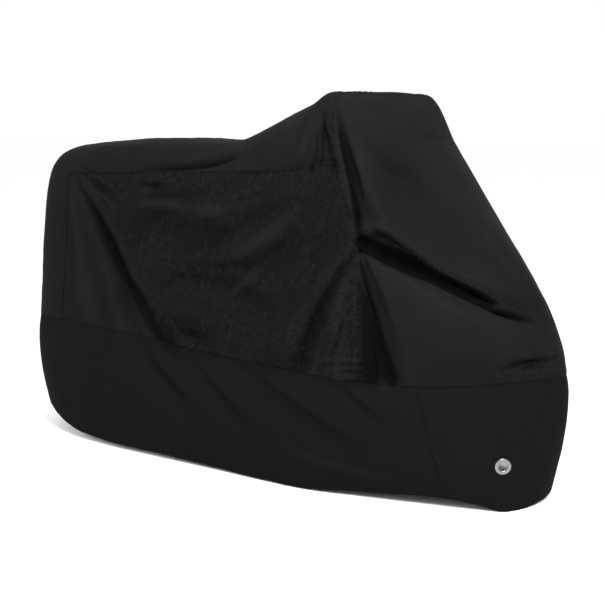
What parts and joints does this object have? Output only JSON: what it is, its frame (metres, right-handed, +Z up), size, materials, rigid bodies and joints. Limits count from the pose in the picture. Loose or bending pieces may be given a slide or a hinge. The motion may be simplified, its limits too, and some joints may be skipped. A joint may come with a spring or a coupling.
{
  "type": "motorcycle cover",
  "caption": "Fitted cloth cover in the shape in which it stands over a motorcycle, hollow and open below, with a skirt strip and two metal eyelets at the front.",
  "frame": {"origin": "on the ground under the middle of the cover's box, halfway along and halfway across", "axes": "+X towards the front wheel, +Y to the machine's left, +Z up"},
  "size_m": [2.0907, 0.7226, 1.2595],
  "materials": {
    "coated_cloth": "black plain-weave polyester, slightly shiny coating",
    "skirt_cloth": "black plain-weave polyester, duller and darker",
    "eyelet_metal": "bright nickel-plated steel"
  },
  "bodies": {
    "root": {"top_panel": "coated_cloth", "front_hood": "coated_cloth", "side_panel_right": "coated_cloth", "side_panel_left": "coated_cloth", "skirt_front": "skirt_cloth", "skirt_right": "skirt_cloth", "skirt_left": "skirt_cloth", "eyelet_right": "eyelet_metal", "eyelet_left": "eyelet_metal"}
  },
  "joints": []
}
